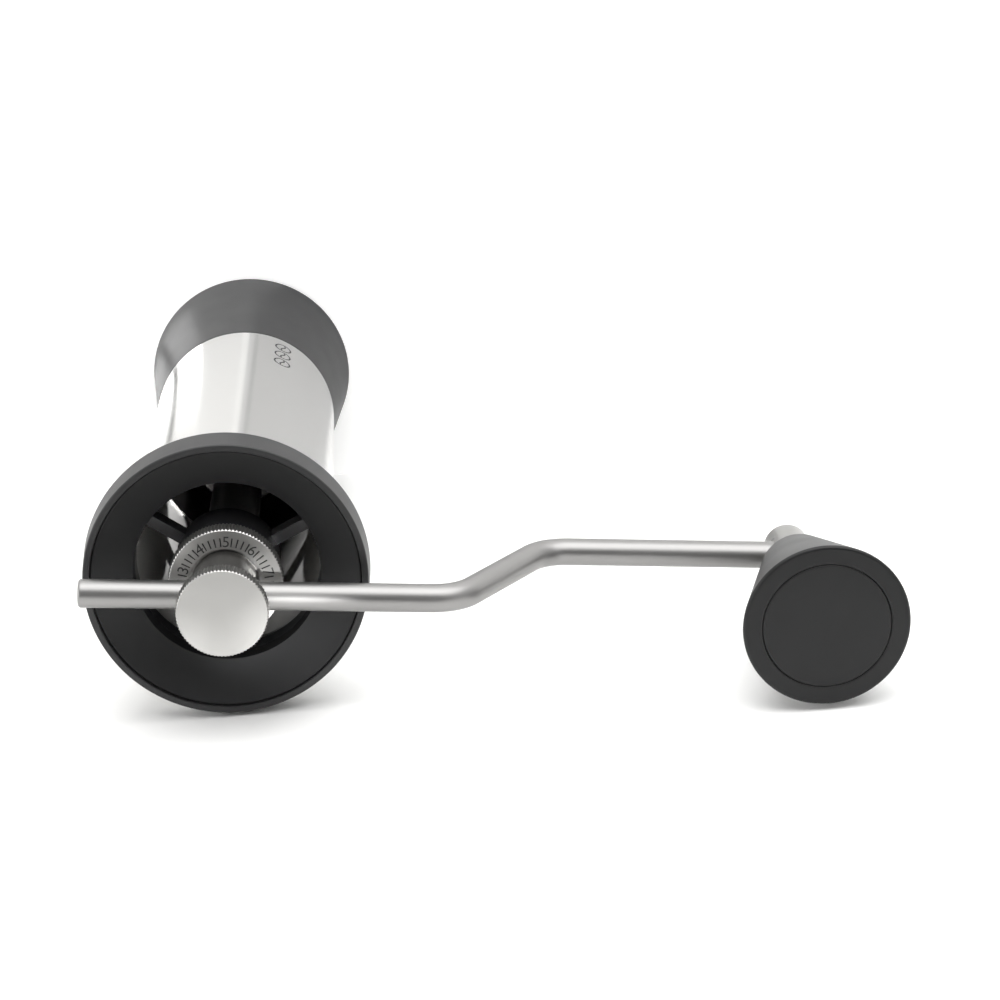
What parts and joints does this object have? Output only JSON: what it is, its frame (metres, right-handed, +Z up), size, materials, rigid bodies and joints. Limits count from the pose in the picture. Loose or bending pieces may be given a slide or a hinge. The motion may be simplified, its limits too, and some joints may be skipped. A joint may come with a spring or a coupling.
{
  "type": "hand crank coffee grinder",
  "caption": "Upright hand coffee grinder: steel tube, black hopper rim and catch cup, numbered adjusting dial, clamped double-bent crank with conical knob.",
  "frame": {"origin": "centre of the foot pad's underside, on the grinding axis", "axes": "+Z up the grinding axis towards the crank; the crank arm points along -X at rest; +Y completes the right hand"},
  "size_m": [0.2295, 0.0814, 0.2487],
  "materials": {
    "black_anodised": "matt black anodised, bead blasted",
    "black_plastic": "fine matt moulded texture",
    "rubber": "matt",
    "tube_steel": "bright brushed stainless steel, polished inside",
    "turned_steel": "fine turned stainless steel",
    "rod_steel": "satin stainless bar",
    "burr_steel": "hardened steel, ground",
    "bearing_steel": "ground and polished",
    "spring_steel": "drawn wire",
    "screw_steel": "plain stainless screws",
    "magnet": "nickel plated",
    "brass": "turned brass",
    "bush_plastic": "natural acetal"
  },
  "bodies": {
    "cup": {"catch_cup": "black_anodised", "cup_magnets": "magnet", "foot_pad": "rubber"},
    "body": {"body_tube": "tube_steel", "rim_collar": "black_plastic", "rim_seal": "rubber", "funnel_insert": "black_plastic", "rim_screws": "screw_steel", "bearing_bridge": "black_anodised", "upper_bearing_outer_ring": "bearing_steel", "burr_carrier": "black_anodised", "lower_bearing_outer_ring": "bearing_steel", "outer_burr": "burr_steel", "burr_retainer": "black_anodised", "spigot_seal": "rubber"},
    "rotor": {"spacer_sleeve": "turned_steel", "upper_bearing_inner_ring": "bearing_steel", "upper_bearing_balls": "bearing_steel", "lower_bearing_inner_ring": "bearing_steel", "lower_bearing_balls": "bearing_steel", "detent_disc": "turned_steel", "preload_spring": "spring_steel"},
    "axle": {"drive_axle": "turned_steel", "axle_key": "bearing_steel", "inner_burr": "burr_steel", "burr_washer": "turned_steel", "burr_screw": "screw_steel"},
    "dial": {"adjust_dial": "turned_steel", "detent_ball": "bearing_steel", "detent_spring": "spring_steel"},
    "clamp_slide": {"clamp_pad": "brass"},
    "clamp": {"clamp_knob": "turned_steel", "clamp_stud": "screw_steel"},
    "crank": {"crank_rod": "rod_steel", "knob_post": "rod_steel", "post_grub_screw": "screw_steel", "thrust_washer": "turned_steel", "knob_axle": "screw_steel"},
    "handle": {"knob_shell": "black_plastic", "knob_end_cap": "black_plastic", "lower_knob_bush": "bush_plastic", "upper_knob_bush": "bush_plastic"}
  },
  "joints": [
    {"name": "body_lift", "type": "slide", "parent": "cup", "child": "body", "axis": [0, 0, 1], "range_m": [0, 0.07]},
    {"name": "crank_spin", "type": "hinge", "parent": "body", "child": "rotor", "pos_m": [0, 0, 0.15], "axis": [0, 0, 1], "continuous": true},
    {"name": "burr_lift", "type": "slide", "parent": "rotor", "child": "axle", "axis": [0, 0, 1], "range_m": [-0.0005, 0.0005], "deforming": ["preload_spring"]},
    {"name": "dial_turn", "type": "hinge", "parent": "rotor", "child": "dial", "pos_m": [0, 0, 0.219], "axis": [0, 0, 1], "range_deg": [-360, 360]},
    {"name": "clamp_lift", "type": "slide", "parent": "axle", "child": "clamp_slide", "axis": [0, 0, 1], "range_m": [0, 0.0025]},
    {"name": "clamp_turn", "type": "hinge", "parent": "clamp_slide", "child": "clamp", "pos_m": [0, 0, 0.243], "axis": [0, 0, 1], "range_deg": [0, 720]},
    {"name": "crank_slide", "type": "slide", "parent": "axle", "child": "crank", "axis": [-1, 0, 0], "range_m": [-0.02, 0.025]},
    {"name": "knob_spin", "type": "hinge", "parent": "crank", "child": "handle", "pos_m": [-0.1655, 0, 0.22], "axis": [0, 0, 1], "continuous": true}
  ],
  "couplings": [
    {"joint": "dial_turn", "follows": "burr_lift", "rad_per_m": 12566},
    {"joint": "clamp_turn", "follows": "clamp_lift", "rad_per_m": 5026.5}
  ]
}
